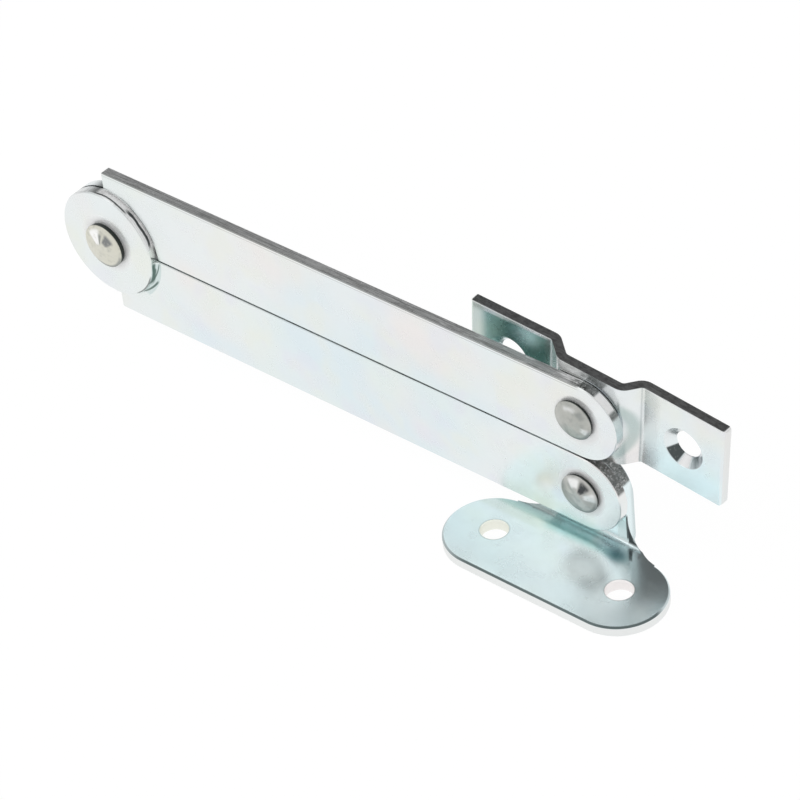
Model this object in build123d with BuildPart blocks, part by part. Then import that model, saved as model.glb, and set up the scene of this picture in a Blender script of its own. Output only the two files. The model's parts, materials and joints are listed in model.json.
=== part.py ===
from build123d import *
import os
from math import cos, pi, radians, sin, sqrt, tan

os.makedirs("parts", exist_ok=True)

# Folding lid stay, stored folded. Millimetres. X runs along the arms with the
# knuckle at -X, Y runs back through the thickness, Z is up. The origin is on
# the underside of the plate, midway between its two screw holes.

# Strip arms
arm_w = 15.0            # width of each strip
arm_t = 2.0             # thickness of each strip
arm_pitch = 106.4       # knuckle centre to bracket rivet centre
fold_gap = 0.4          # daylight between the two folded strips
stop_gap = 0.1          # daylight between the square ends when straight
end_margin = 0.6        # round end's centre beyond the rivet
end_corner = 0.5        # outer corner of the square end
edge_break = 0.15       # broken edge of the sheared outlines

# Half-sheared knuckle
disc_r = 10.75          # knuckle disc
disc_break = 0.25       # front edge of the disc
push = 1.2              # how far each disc is sheared out of its strip
seat_clear = 0.2        # radial room round a disc in the other arm's recess
lip_r = 0.93            # rolled-in lip of the recess
cove_r = 1.08           # cove between the disc and the strip's face

# Plate bracket
plate_t = 2.2           # sheet thickness
plate_r = 8.6           # round ends of the plate
plate_fwd = 0.45        # plate centre line forward of the hole line
screw_pitch = 26.4      # between the plate's screw holes
screw_r = 2.45          # plain screw holes
plate_gap = 1.8         # daylight between the plate and the lower arm
ear_front = 9.9         # hole line back to the ear's front face
bend_r = 1.0            # inside radius of the fold
relief_r = 8.0          # concave edge from the round end into the ear, as blanked
neutral = 0.44          # depth of the fold's neutral line, as a share of the sheet
pinch_deg = 35.0        # place on the concave edge where its back starts to draw in
pinch_r = 7.0           # curve of the drawn-in back of the flare
pinch_back = 0.9        # straight strip left down the back of the ear
plate_break = 0.3       # broken edge of the plate

# Lid bracket
lid_t = 1.65            # sheet thickness
lid_len = 52.0          # end to end
lid_top = 9.25          # rivet to the bracket's top edge
lid_gap = 0.55          # daylight between its lower edge and the ear when folded
jog = 3.05              # wings stand this far behind the middle
fold_left = 5.4         # rivet to the fold left of the middle, an easy slope
fold_right = 6.8        # rivet to the fold right of the middle, a steep one
fold_far = 9.0          # rivet to the fold beside each wing
wing_lean = 1.6         # degrees, wing tips closing towards the arms
lid_bend_r = 0.9        # inside radius of the folds
corner_cut = 0.4        # nipped corners of the wings
end_round = 0.7         # rolled front edge at the ends of the wings
lid_screw_x = 17.9      # rivet to each screw hole
lid_screw_z = 0.7       # screw holes above the rivet
lid_screw_r = 2.5       # through hole
csk_r = 3.95            # countersink at the front face
lid_turn = 5.0          # degrees, right wing hanging down as stored

# Rivets
shank_r = 2.5           # all three shanks
pivot_play = 0.05       # radial play where an arm turns on a shank
face_play = 0.1         # side play between faces that slide past each other
head_r = 3.75           # bracket rivet heads, at the rim
head_edge = 0.6         # height of a bracket rivet's rim
knuckle_head_r = 4.55   # knuckle rivet head, at the rim
knuckle_edge = 1.0      # height of the knuckle rivet's rim
dome = 0.8              # rise of a dome above its rim
undercut = 0.15         # heads narrow by this much down to their seat
tail_break = 0.35       # worn edge of a tail
tail_r = 3.7            # formed tails at the back
upper_off_x = -0.25     # the upper head is set off its shank's centre
upper_off_z = 0.45
tail_h = 1.2            # height of a tail

# Stations worked out from the sizes above
step = arm_w + fold_gap
arm_back = ear_front - face_play
arm_front = arm_back - arm_t
sheet_front = ear_front
ear_r = arm_w / 2
low_z = plate_t + plate_gap + arm_w / 2
high_z = low_z + step
knuckle_x = -arm_pitch
knuckle_z = low_z + step / 2
seat_r = disc_r + seat_clear


def facing(y):
    """Sketch plane at depth y seen from the front, X right and Z up."""
    return Plane.XZ.offset(-y)


def keep(builder, name):
    """Label a finished part and write it to its own file."""
    builder.part.label = name
    export_step(builder.part, f"parts/{name}.step")


# One pressing serves both arms. It is drawn with the knuckle on the Y axis,
# the strip running out below it and the disc half-sheared out to the front.
# First the cove between disc and strip: a concave ring over the strip's corner
with BuildPart() as cove:
    with BuildSketch(Plane.XY):
        with BuildLine():
            Polyline((disc_r, -cove_r), (disc_r - seat_clear, -cove_r), (disc_r - seat_clear, 0))
            Line((disc_r - seat_clear, 0), (disc_r + cove_r, 0))
            RadiusArc((disc_r + cove_r, 0), (disc_r, -cove_r), -cove_r)
        make_face()
    revolve(axis=Axis.Y)
    with BuildSketch(facing(0)):
        with Locations((stop_gap / 2, -fold_gap / 2)):
            Rectangle(arm_pitch, arm_pitch, align=(Align.MIN, Align.MAX))
    extrude(amount=push, mode=Mode.INTERSECT)
with BuildPart() as pressing:
    with BuildSketch(facing(0)) as strip:
        with Locations((stop_gap / 2, -step / 2)):
            Rectangle(arm_pitch + end_margin - stop_gap / 2, arm_w, align=(Align.MIN, Align.CENTER))
        with Locations((arm_pitch + end_margin, -step / 2)):
            Circle(arm_w / 2)
        fillet(strip.vertices().sort_by_distance((0, -step / 2 - arm_w / 2))[0], end_corner)
    extrude(amount=-arm_t)
    chamfer(pressing.faces().filter_by(Axis.Y).edges(), edge_break)
    # Recess with a rolled-in lip at the back, where the other arm's disc lies
    with BuildSketch(Plane.XY):
        with BuildLine():
            Polyline((0, arm_t), (0, arm_t - push), (seat_r, arm_t - push), (seat_r, arm_t - lip_r))
            RadiusArc((seat_r, arm_t - lip_r), (seat_r + lip_r, arm_t), lip_r)
            Line((seat_r + lip_r, arm_t), (0, arm_t))
        make_face()
    revolve(axis=Axis.Y, mode=Mode.SUBTRACT)
    # The disc and its cove
    add(cove.part)
    with BuildSketch(Plane.XY):
        with BuildLine():
            Polyline((disc_r - disc_break, -push), (0, -push), (0, arm_t - push), (disc_r, arm_t - push))
            Polyline((disc_r, arm_t - push), (disc_r, disc_break - push), (disc_r - disc_break, -push))
        make_face()
    revolve(axis=Axis.Y)

# Lower arm: disc to the front, tight on the knuckle rivet
with BuildPart() as lower_arm:
    add(pressing.part.moved(Location((knuckle_x, arm_front, knuckle_z))))
    with BuildSketch(facing(arm_front - push)):
        with Locations((knuckle_x, knuckle_z)):
            Circle(shank_r)
        with Locations((0, low_z)):
            Circle(shank_r + pivot_play)
    extrude(amount=-arm_t - push, mode=Mode.SUBTRACT)
keep(lower_arm, "lower_arm")

# Upper arm: the same pressing turned over, free on the knuckle rivet
with BuildPart() as upper_arm:
    add(pressing.part.moved(Location((knuckle_x, arm_back, knuckle_z), (180, 0, 0))))
    with BuildSketch(facing(arm_front)):
        with Locations((knuckle_x, knuckle_z), (0, high_z)):
            Circle(shank_r + pivot_play)
    extrude(amount=-arm_t - push, mode=Mode.SUBTRACT)
keep(upper_arm, "upper_arm")

# Plate bracket: obround plate with an ear folded up along its back edge. The
# blank's concave edge runs from the round end, through the fold and up the ear.
ear_back = ear_front + plate_t
ear_base = plate_t + bend_r
bend_y = ear_front - bend_r
bend_run = (bend_r + neutral * plate_t) * pi / 2
relief_x = ear_r + relief_r
reach = relief_x - screw_pitch / 2
relief_y = sqrt((plate_r + relief_r) ** 2 - reach ** 2) - plate_fwd
foot_half = screw_pitch / 2 + reach * plate_r / (plate_r + relief_r)
pinch_turn = radians(pinch_deg)
pinch = (relief_x - relief_r * sin(pinch_turn), relief_y - relief_r * cos(pinch_turn))


def blank_x(run):
    """Half width of the flat blank at a distance back from the hole line."""
    return relief_x - sqrt(relief_r ** 2 - (relief_y - run) ** 2)


with BuildPart() as plate:
    with BuildSketch(Plane.XY):
        with Locations((0, -plate_fwd)):
            SlotCenterToCenter(screw_pitch, 2 * plate_r)
    extrude(amount=plate_t)
    chamfer(plate.faces().filter_by(Axis.Z).edges(), plate_break)
with BuildPart() as plate_bracket:
    # Folded strip, seen from its end
    with BuildSketch(Plane.YZ.offset(-foot_half)) as fold:
        with BuildLine():
            Polyline((0, 0), (ear_back, 0), (ear_back, low_z + ear_r), (ear_front, low_z + ear_r))
            Polyline((ear_front, low_z + ear_r), (ear_front, plate_t), (0, plate_t), (0, 0))
        make_face()
        fillet(fold.vertices().sort_by_distance((ear_front, plate_t))[0], bend_r)
        fillet(fold.vertices().sort_by_distance((ear_back, 0))[0], bend_r + plate_t)
    extrude(amount=2 * foot_half)
    # Ear outline: round top over the rivet, flared down to the fold and across it
    flare_z = ear_base + relief_y - bend_y - bend_run
    fold_mid = (blank_x(bend_y + bend_run / 2), ear_base - bend_r * cos(pi / 4))
    fold_top = (blank_x(bend_y + bend_run), ear_base)
    with BuildSketch(facing(0)) as ear:
        with Locations((0, low_z)):
            Circle(ear_r)
        with BuildLine() as flank:
            Polyline((0, low_z), (ear_r, low_z), (ear_r, flare_z))
            RadiusArc((ear_r, flare_z), fold_top, -relief_r)
            ThreePointArc(fold_top, fold_mid, (blank_x(bend_y), plate_t))
            Polyline((blank_x(bend_y), plate_t), (foot_half, plate_t), (foot_half, 0), (0, 0), (0, low_z))
        make_face()
        mirror(about=Plane.YZ)
    extrude(amount=-ear_back, mode=Mode.INTERSECT)
    # Concave edges that lead the round ends into the ear
    with BuildSketch(Plane.XY):
        with Locations((-relief_x, relief_y), (relief_x, relief_y)):
            Circle(relief_r)
    extrude(amount=low_z, mode=Mode.SUBTRACT)
    # The fold has stretched its outside, so the flare draws in towards the back
    with BuildSketch(Plane.XY):
        with BuildLine():
            RadiusArc((ear_r, ear_back - pinch_back), pinch, -pinch_r)
            Polyline(pinch, (relief_x, relief_y), (ear_r, ear_back + bend_r), (ear_r, ear_back - pinch_back))
        make_face()
        mirror(about=Plane.YZ)
    extrude(amount=low_z, mode=Mode.SUBTRACT)
    add(plate.part)
    with BuildSketch(Plane.XY):
        with Locations((-screw_pitch / 2, 0), (screw_pitch / 2, 0)):
            Circle(screw_r)
    extrude(amount=plate_t, mode=Mode.SUBTRACT)
    with BuildSketch(facing(ear_front)):
        with Locations((0, low_z)):
            Circle(shank_r)
    extrude(amount=-plate_t, mode=Mode.SUBTRACT)
keep(plate_bracket, "plate_bracket")

# Lid bracket, drawn square to its rivet and then turned to the stored pose
wing_run = lid_len / 2 - fold_far
tip_y = jog - wing_run * tan(radians(wing_lean))
lid_foot = step - ear_r - lid_gap
with BuildPart() as lid_drawn:
    with BuildSketch(Plane.XY.offset(-lid_foot)):
        with BuildLine():
            FilletPolyline(
                (-lid_len / 2, tip_y),
                (-fold_far, jog),
                (-fold_left, 0),
                (fold_right, 0),
                (fold_far, jog),
                (lid_len / 2, tip_y),
                radius=lid_bend_r + lid_t / 2,
            )
        trace(line_width=lid_t)
    extrude(amount=lid_top + lid_foot)
    # Nipped corners of the wings and the rolled front edge at each end
    corners = lid_drawn.edges().filter_by(Axis.Y, tolerance=3)
    chamfer(corners.filter_by(lambda e: abs(e.center().X) > fold_far), corner_cut)
    ends = lid_drawn.edges().filter_by(Axis.Z).sort_by(Axis.X)
    fillet([ends[:2].sort_by(Axis.Y)[0], ends[-2:].sort_by(Axis.Y)[0]], end_round)
    # Screw holes with their countersinks, square to each leaning wing
    for side in (-1, 1):
        lean = radians(wing_lean)
        wall_y = jog - (lid_screw_x - fold_far) * tan(lean) - lid_t / 2 / cos(lean)
        face = Plane(
            origin=(side * lid_screw_x, wall_y, lid_screw_z),
            x_dir=(side * cos(lean), -sin(lean), 0),
            z_dir=(-side * sin(lean), -cos(lean), 0),
        )
        with Locations(face):
            CounterSinkHole(lid_screw_r, csk_r, depth=2 * lid_t, counter_sink_angle=90)
    with BuildSketch(facing(-lid_t)):
        Circle(shank_r)
    extrude(amount=-2 * lid_t, mode=Mode.SUBTRACT)

# Placed on the upper rivet and turned to the stored pose
with BuildPart() as lid_bracket:
    add(lid_drawn.part.moved(Location((0, sheet_front + lid_t / 2, high_z), (0, lid_turn, 0))))
keep(lid_bracket, "lid_bracket")


def riveted(x, z, face_y, back_y, head, edge, off_x=0, off_z=0):
    """One rivet: domed head ahead of face_y, shank, formed tail behind back_y."""
    rim_y = face_y - edge
    tail_y = back_y + tail_h
    dome_r = (head ** 2 + dome ** 2) / (2 * dome)
    with BuildPart() as rivet:
        with BuildSketch(Plane((x, 0, z))):
            with BuildLine():
                Polyline((0, face_y), (shank_r, face_y), (shank_r, back_y), (tail_r, back_y))
                Polyline((tail_r, back_y), (tail_r, tail_y - tail_break), (tail_r - tail_break, tail_y))
                Polyline((tail_r - tail_break, tail_y), (0, tail_y), (0, face_y))
            make_face()
        revolve(axis=Axis((x, 0, z), (0, 1, 0)))
        with BuildSketch(Plane((x + off_x, 0, z + off_z))):
            with BuildLine():
                RadiusArc((0, rim_y - dome), (head, rim_y), -dome_r)
                Polyline((head, rim_y), (head - undercut, face_y), (0, face_y), (0, rim_y - dome))
            make_face()
        revolve(axis=Axis((x + off_x, 0, z + off_z), (0, 1, 0)))
    return rivet


# Lower rivet: tight in the ear, the lower arm turns on it
bracket_face = arm_front - face_play
lower = riveted(0, low_z, bracket_face, ear_back, head_r, head_edge)
keep(lower, "lower_rivet")

# Upper rivet: tight in the lid bracket, the upper arm turns on it
lid_back = sheet_front + lid_t
upper = riveted(0, high_z, bracket_face, lid_back, head_r, head_edge, upper_off_x, upper_off_z)
keep(upper, "upper_rivet")

# Knuckle rivet: tight in the lower arm's disc, the upper arm turns on it
disc_front = arm_front - push
disc_back = arm_back + push + face_play
knuckle = riveted(knuckle_x, knuckle_z, disc_front, disc_back, knuckle_head_r, knuckle_edge)
keep(knuckle, "knuckle_rivet")
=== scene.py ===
import json
from math import pi, radians

import bpy
import numpy as np
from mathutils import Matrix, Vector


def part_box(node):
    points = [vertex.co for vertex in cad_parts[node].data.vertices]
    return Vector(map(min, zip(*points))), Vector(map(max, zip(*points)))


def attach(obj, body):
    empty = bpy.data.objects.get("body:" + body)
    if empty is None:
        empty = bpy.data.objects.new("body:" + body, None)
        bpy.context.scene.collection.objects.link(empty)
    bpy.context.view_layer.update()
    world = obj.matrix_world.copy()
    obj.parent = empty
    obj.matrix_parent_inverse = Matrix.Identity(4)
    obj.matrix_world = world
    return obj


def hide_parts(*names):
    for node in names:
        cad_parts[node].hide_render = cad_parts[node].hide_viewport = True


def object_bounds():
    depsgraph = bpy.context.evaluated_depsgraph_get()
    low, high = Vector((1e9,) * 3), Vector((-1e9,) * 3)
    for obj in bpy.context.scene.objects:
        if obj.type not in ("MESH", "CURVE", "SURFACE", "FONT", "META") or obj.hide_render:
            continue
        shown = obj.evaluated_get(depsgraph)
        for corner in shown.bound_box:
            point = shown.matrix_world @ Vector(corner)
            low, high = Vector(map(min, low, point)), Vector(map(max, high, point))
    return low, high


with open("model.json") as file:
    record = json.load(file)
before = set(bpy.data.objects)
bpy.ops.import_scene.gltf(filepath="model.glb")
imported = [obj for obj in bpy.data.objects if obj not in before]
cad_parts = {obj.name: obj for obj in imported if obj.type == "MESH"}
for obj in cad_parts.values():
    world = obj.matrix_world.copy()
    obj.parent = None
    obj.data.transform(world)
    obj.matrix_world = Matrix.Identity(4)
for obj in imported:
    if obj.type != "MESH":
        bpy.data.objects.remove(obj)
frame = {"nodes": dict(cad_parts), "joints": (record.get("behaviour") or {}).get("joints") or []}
CAD_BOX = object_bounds()

bl_info = {
    "name": "Folding lid stay",
    "version": (1, 0, 0),
    "blender": (4, 5, 0),
    "location": "View3D > Sidebar > Lid stay",
    "description": "Rivets and zinc finishes for a folding lid stay",
    "category": "Object",
}

NODES = frame["nodes"]
JOINTS = {j["name"]: j for j in frame["joints"]}
MM = 0.001


def box_mm(node):
    """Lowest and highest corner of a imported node, in millimetres."""
    return [[v / MM for v in corner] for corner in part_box(node)]


def axis_mm(joint):
    """Place of a hinge axis, in millimetres."""
    return [v / MM for v in JOINTS[joint]["pos_m"]]


# Stations of the stay in millimetres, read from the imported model
ARM_FRONT = box_mm("upper_arm")[0][1]
ARM_BACK = box_mm("lower_arm")[1][1]
DISC_FRONT = box_mm("lower_arm")[0][1]
PLATE_BACK = box_mm("plate_bracket")[1][1]
LOW = axis_mm("lower_pivot")
KNUCKLE = axis_mm("knuckle")
HIGH = axis_mm("lid_pivot")

# Sizes that the marks in the metal follow, in millimetres
ARM_WIDTH = 15.0
END_R = ARM_WIDTH / 2       # round ends of the arms and of the ear
DISC_R = 10.75              # knuckle disc
PLATE_R = 8.6               # round ends of the plate
PLATE_FORWARD = 0.45        # plate's centre line before its hole line
SCREW_X = 13.2              # plate's screw holes, from the middle
SCREW_R = 2.45
LID_SCREW = (17.9, HIGH[2] + 0.7)
LID_SCREW_R = 2.5
COUNTERSINK_R = 3.95
LID_END = 26.0              # ends of the lid bracket, from its rivet
LID_TOP = 9.25              # top edge of the lid bracket, above its rivet
WING_FRONT = 13.5           # front faces of the wings lie no deeper than this
WING_SKIN = 0.25            # depth over which marks on those faces fade out
LID_HANGS = -5.0            # degrees that the lid bracket hangs down when stored

# The formed rivets
UNDERCUT = 0.15             # a head narrows by this much down to its seat
TAIL_BREAK = 0.35           # worn edge of a tail
TAIL_CORNER = 0.12          # and how far that edge's middle is set back
SWELL = 0.012               # share by which a head's rim swells
HAMMER = 0.06               # depth of the hammering on a dome

# The stage, in metres
FLOOR_HALF = 3.0
FLOOR_WHITE = 1.03          # strength of the floor as the camera sees it
FLOOR_SHARE = 0.93          # and how much of it hides the lit floor
FLAG_WAY = (-0.54, 0.56, 0.63)          # from the stay to the dark cloth
FLAG_EDGE, FLAG_MIDDLE = 0.80, 0.95     # cosines from that way where it starts and is darkest
KEY_PLACE = (-0.35, -0.45, 0.75)
KEY_SIZE = 0.6


# ---------------------------------------------------------------- surfaces


def closed_grid(name, points):
    """Mesh of a surface P(s, t): rows run from one pole to the other and t goes
    once round, so rows close on themselves and each pole is one point."""
    rows, turns, _ = points.shape
    ring = points[1:-1].reshape(-1, 3)
    verts = np.vstack([points[0, :1], ring, points[-1, :1]])
    i = np.arange(rows - 3)[:, None] * turns + 1
    j = np.arange(turns)[None, :]
    k = (j + 1) % turns
    quads = np.stack([i + j, i + k, i + turns + k, i + turns + j], -1).reshape(-1, 4)
    last = 1 + (rows - 3) * turns
    j, k = j[0], k[0]
    first_fan = np.stack([np.zeros_like(j), 1 + k, 1 + j], -1)
    last_fan = np.stack([np.full_like(j, len(verts) - 1), last + j, last + k], -1)
    mesh = bpy.data.meshes.new(name)
    mesh.from_pydata(verts * MM, [], first_fan.tolist() + quads.tolist() + last_fan.tolist())
    mesh.polygons.foreach_set("use_smooth", np.ones(len(mesh.polygons), bool))
    mesh.update()
    thing = bpy.data.objects.new(name, mesh)
    bpy.context.scene.collection.objects.link(thing)
    return thing


def upset_rivet(name, centre, offset, profile, lumps, seed, turns=120):
    """A rivet as a revolved profile. A row of the profile has a radius r, a depth
    y and a head share h, which is 1 on the head and 0 on shank and tail. With a
    as the angle round the axis, a point is centre + h * offset + r * (cos a,
    sin a) at depth y. The head's rim swells by a sum of low cosine waves in a,
    and its dome is hammered: the depth moves by waves in the two directions
    across it, faded out towards the rim."""
    r, y, h = (column[:, None] for column in profile.T)
    a = np.linspace(0, 2 * np.pi, turns, endpoint=False)[None, :]
    rng = np.random.default_rng(seed)
    phase = rng.uniform(0, 2 * np.pi, 6)
    swell = sum(np.cos((n + 2) * a + phase[n]) / (n + 2) for n in range(3))
    widest = r.max()
    r_now = r * (1 + h * SWELL * lumps * swell)
    x = r_now * np.cos(a)
    z = r_now * np.sin(a)
    hammer = np.sin(1.3 * x + phase[3]) * np.cos(1.1 * z + phase[4])
    hammer = hammer + 0.5 * np.sin(2.3 * (x + z) + phase[5])
    on_dome = h * np.clip(1 - (r / widest) ** 4, 0, 1)
    y_now = y + HAMMER * lumps * hammer * on_dome
    cross = [x + centre[0] + h * offset[0], y_now, z + centre[1] + h * offset[1]]
    return closed_grid(name, np.stack(np.broadcast_arrays(*cross), -1))


def rivet_profile(node, head, rise, s):
    """Profile rows (radius, depth, head share) from the front pole to the back
    one: a circular arc over the dome, a quarter round at its rim, the straight
    side of the head, the shank and the formed tail with its broken edge."""
    (_, front, _), (_, back, _) = box_mm(node)
    dome, soft = s.dome / MM, s.rim_round / MM
    shank, tail = s.shank / MM, s.tail / MM
    rim_y = front + dome
    face = front + dome + rise
    seat = back - s.tail_height / MM
    curve = (head**2 + dome**2) / (2 * dome)
    turn = np.linspace(0, np.arcsin((head - soft) / curve), 26)
    arc = np.c_[curve * np.sin(turn), front + curve * (1 - np.cos(turn))]
    edge_r, edge_y = arc[-1]
    rim = np.linspace(edge_r, head, 7)
    quarter = np.sqrt(np.clip(1 - ((rim - edge_r) / soft) ** 2, 0, 1))
    corner = np.c_[rim, edge_y + (rim_y - edge_y + soft) * (1 - quarter)]
    side = np.linspace((head, corner[-1, 1]), (head - UNDERCUT, face), 5)
    head_rows = np.vstack([arc, corner[1:], side[1:]])
    body_rows = np.array([
        [shank, face],
        [shank, (face + seat) / 2],
        [shank, seat],
        [(shank + tail) / 2, seat],
        [tail, seat],
        [tail, (seat + back - TAIL_BREAK) / 2],
        [tail, back - TAIL_BREAK],
        [tail - TAIL_CORNER, back - TAIL_CORNER],
        [tail - TAIL_BREAK, back],
        [tail * 0.6, back],
        [tail * 0.3, back],
        [0, back],
    ])
    share = np.r_[np.ones(len(head_rows)), np.zeros(len(body_rows))]
    return np.c_[np.vstack([head_rows, body_rows]), share]


# ---------------------------------------------------------------- materials


class Finish:
    """A procedural metal finish, worked out on Object coordinates in millimetres.
    Colour, roughness, metal and height are numbers until something varies them."""

    def __init__(self, name, colour, rough):
        self.material = bpy.data.materials.new(name)
        self.material.use_nodes = True
        self.tree = self.material.node_tree
        self.shader = self.tree.nodes["Principled BSDF"]
        coords = self.add("ShaderNodeTexCoord").outputs["Object"]
        self.place = self.vector("SCALE", coords, scale=1 / MM)
        self.split()
        self.colour = (*colour, 1.0)
        self.rough = rough
        self.metal = 1.0
        self.height = 0.0

    def add(self, kind, **settings):
        node = self.tree.nodes.new(kind)
        for key, value in settings.items():
            setattr(node, key, value)
        return node

    def plug(self, socket, value):
        """Links a value that varies, or sets one that is the same all over."""
        if isinstance(value, bpy.types.NodeSocket):
            self.tree.links.new(value, socket)
        else:
            socket.default_value = value

    def vector(self, operation, a, b=None, scale=None):
        """A vector sum, product, scale or length."""
        node = self.add("ShaderNodeVectorMath", operation=operation)
        self.plug(node.inputs[0], a)
        if b is not None:
            self.plug(node.inputs[1], b)
        if scale is not None:
            self.plug(node.inputs["Scale"], scale)
        return node.outputs["Value" if operation == "LENGTH" else "Vector"]

    def math(self, operation, a, b=0.0, clamp=False):
        """A sum on numbers or on values that vary."""
        node = self.add("ShaderNodeMath", operation=operation, use_clamp=clamp)
        self.plug(node.inputs[0], a)
        self.plug(node.inputs[1], b)
        return node.outputs[0]

    def split(self):
        """Reads the place apart into its three coordinates."""
        node = self.add("ShaderNodeSeparateXYZ")
        self.plug(node.inputs[0], self.place)
        self.x, self.y, self.z = node.outputs

    def turn(self, centre, degrees):
        """Reads the pattern square to a piece that is turned about the Y axis."""
        node = self.add("ShaderNodeVectorRotate", rotation_type="Y_AXIS")
        self.plug(node.inputs["Vector"], self.place)
        node.inputs["Center"].default_value = centre
        node.inputs["Angle"].default_value = radians(degrees)
        self.place = node.outputs[0]
        self.split()

    def polar(self, centre, across, up):
        """Distance from an axis, and the angle round it in degrees, counted from
        the coordinate across towards the coordinate up."""
        across = self.math("SUBTRACT", across, centre[0])
        up = self.math("SUBTRACT", up, centre[1])
        square = self.math("MULTIPLY", across, across)
        square = self.math("ADD", square, self.math("MULTIPLY", up, up))
        angle = self.math("MULTIPLY", self.math("ARCTAN2", up, across), 180 / pi)
        return self.math("SQRT", square), angle

    def round_axis(self, x, z):
        """Distance and angle round a rivet's or screw's axis, which runs along Y."""
        return self.polar((x, z), self.x, self.z)

    def round_post(self, x, y):
        """Distance and angle round an upright axis."""
        return self.polar((x, y), self.x, self.y)

    def line(self, start, slope, value):
        """start + slope * value, a straight line or a spiral's radius."""
        return self.math("ADD", start, self.math("MULTIPLY", value, slope))

    def fade(self, value, start, end):
        """0 before start, 1 past end, smooth between; start may be the larger."""
        node = self.add("ShaderNodeMapRange", interpolation_type="SMOOTHSTEP")
        self.plug(node.inputs["Value"], value)
        low, high = (start, end) if start < end else (end, start)
        node.inputs["From Min"].default_value = low
        node.inputs["From Max"].default_value = high
        node.inputs["To Min"].default_value = 0.0 if start < end else 1.0
        node.inputs["To Max"].default_value = 1.0 if start < end else 0.0
        return node.outputs["Result"]

    def band(self, value, low, high, soft):
        """1 between low and high, fading to 0 over soft on either side."""
        start = self.fade(value, low - soft, low + soft)
        return self.both(start, self.fade(value, high + soft, high - soft))

    def both(self, *masks):
        """Product of the masks, 1 where all of them are 1."""
        total = masks[0]
        for mask in masks[1:]:
            total = self.math("MULTIPLY", total, mask)
        return total

    def noise(self, size, detail=3.0, rough=0.55, stretch=(1, 1, 1), distort=0.0,
              low=0.35, high=0.65, shift=0.0):
        """Cloudy pattern from 0 to 1 with spots about size millimetres across."""
        node = self.add("ShaderNodeTexNoise")
        scaled = self.vector("MULTIPLY", self.place, tuple(1 / (size * s) for s in stretch))
        if shift:
            scaled = self.vector("ADD", scaled, (shift, shift * 0.7, shift * 1.3))
        self.plug(node.inputs["Vector"], scaled)
        node.inputs["Scale"].default_value = 1.0
        node.inputs["Detail"].default_value = detail
        node.inputs["Roughness"].default_value = rough
        node.inputs["Distortion"].default_value = distort
        return self.fade(node.outputs[0], low, high)

    def specks(self, size, radius):
        """Small round pits, one in some of the cells of a grid size wide."""
        node = self.add("ShaderNodeTexVoronoi")
        self.plug(node.inputs["Vector"], self.vector("SCALE", self.place, scale=1 / size))
        node.inputs["Scale"].default_value = 1.0
        near = self.fade(node.outputs["Distance"], radius / size, 0.5 * radius / size)
        tell = self.add("ShaderNodeSeparateColor")
        self.plug(tell.inputs[0], node.outputs["Color"])
        return self.both(near, self.fade(tell.outputs[0], 0.72, 0.78))

    def spot(self, centre, radii, hard=0.0):
        """1 in the middle of an ellipsoid, fading to 0 at its skin."""
        away = self.vector("SUBTRACT", self.place, centre)
        away = self.vector("MULTIPLY", away, tuple(1 / r for r in radii))
        return self.fade(self.vector("LENGTH", away), 1.0, hard)

    def paint(self, mask, colour, strength=1.0):
        """Lays a colour over what is there, where the mask is."""
        node = self.add("ShaderNodeMix", data_type="RGBA")
        self.plug(node.inputs["Factor"], mask if strength == 1.0 else self.both(mask, strength))
        self.plug(node.inputs["A"], self.colour)
        self.plug(node.inputs["B"], (*colour, 1.0))
        self.colour = node.outputs["Result"]

    def blend(self, mask, below, above):
        """below + mask * (above - below)."""
        node = self.add("ShaderNodeMix", data_type="FLOAT")
        self.plug(node.inputs["Factor"], mask)
        self.plug(node.inputs["A"], below)
        self.plug(node.inputs["B"], above)
        return node.outputs["Result"]

    def roughen(self, mask, rough):
        """Gives the masked part its own roughness."""
        self.rough = self.blend(mask, self.rough, rough)

    def bloom(self, mask, metal):
        """Lets the plating scatter light instead of mirroring it."""
        self.metal = self.blend(mask, self.metal, metal)

    def paint_pale_matte(self, mask, colour, strength, metal, rough=None):
        """Paints a paler colour and lets the plating scatter light there instead of mirroring it; most uses
        are painted highlights and painted light.
        """
        self.paint(mask, colour, strength)
        self.bloom(mask, metal)
        if rough is not None:
            self.roughen(mask, rough)

    def raise_by(self, pattern, depth):
        """Adds relief, in millimetres; a negative depth sinks it."""
        self.height = self.math("ADD", self.height, self.math("MULTIPLY", pattern, depth))

    def done(self):
        """Joins colour, roughness and relief to the shader. Relief is in millimetres."""
        self.plug(self.shader.inputs["Base Color"], self.colour)
        self.plug(self.shader.inputs["Roughness"], self.rough)
        self.plug(self.shader.inputs["Metallic"], self.metal)
        bump = self.add("ShaderNodeBump")
        bump.inputs["Strength"].default_value = 1.0
        bump.inputs["Distance"].default_value = MM
        self.plug(bump.inputs["Height"], self.height)
        self.plug(self.shader.inputs["Normal"], bump.outputs[0])
        return self.material


def zinc(name, look):
    """Bright zinc on rolled steel: near white, with faint coloured clouds and fine
    rolling lines along the strip."""
    f = Finish(name, look.zinc, look.zinc_rough)
    for size, stretch, shift, low, high, colour, strength in (
        (24, 1.6, 3.1, 0.38, 0.68, look.zinc_blue, 0.8),
        (19, 1.0, 8.7, 0.42, 0.72, look.zinc_warm, 0.75),
        (15, 1.0, 15.3, 0.45, 0.75, look.zinc_green, 0.6),
        (9, 1.0, 44.0, 0.50, 0.70, look.zinc_yellow, 0.4),
        (8, 1.0, 52.0, 0.52, 0.70, look.zinc_violet, 0.4),
    ):
        stain = f.noise(size, detail=2.0, stretch=(stretch, 1, 1), shift=shift, low=low, high=high)
        f.paint(stain, colour, strength)
    lines = f.noise(0.35, detail=2.0, stretch=(28, 1, 1))
    cloud = f.noise(3.5, detail=4.0, shift=5.2)
    f.roughen(cloud, look.zinc_rough + 0.06)
    f.raise_by(lines, 0.0004)
    f.raise_by(cloud, 0.0010)
    return f


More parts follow.
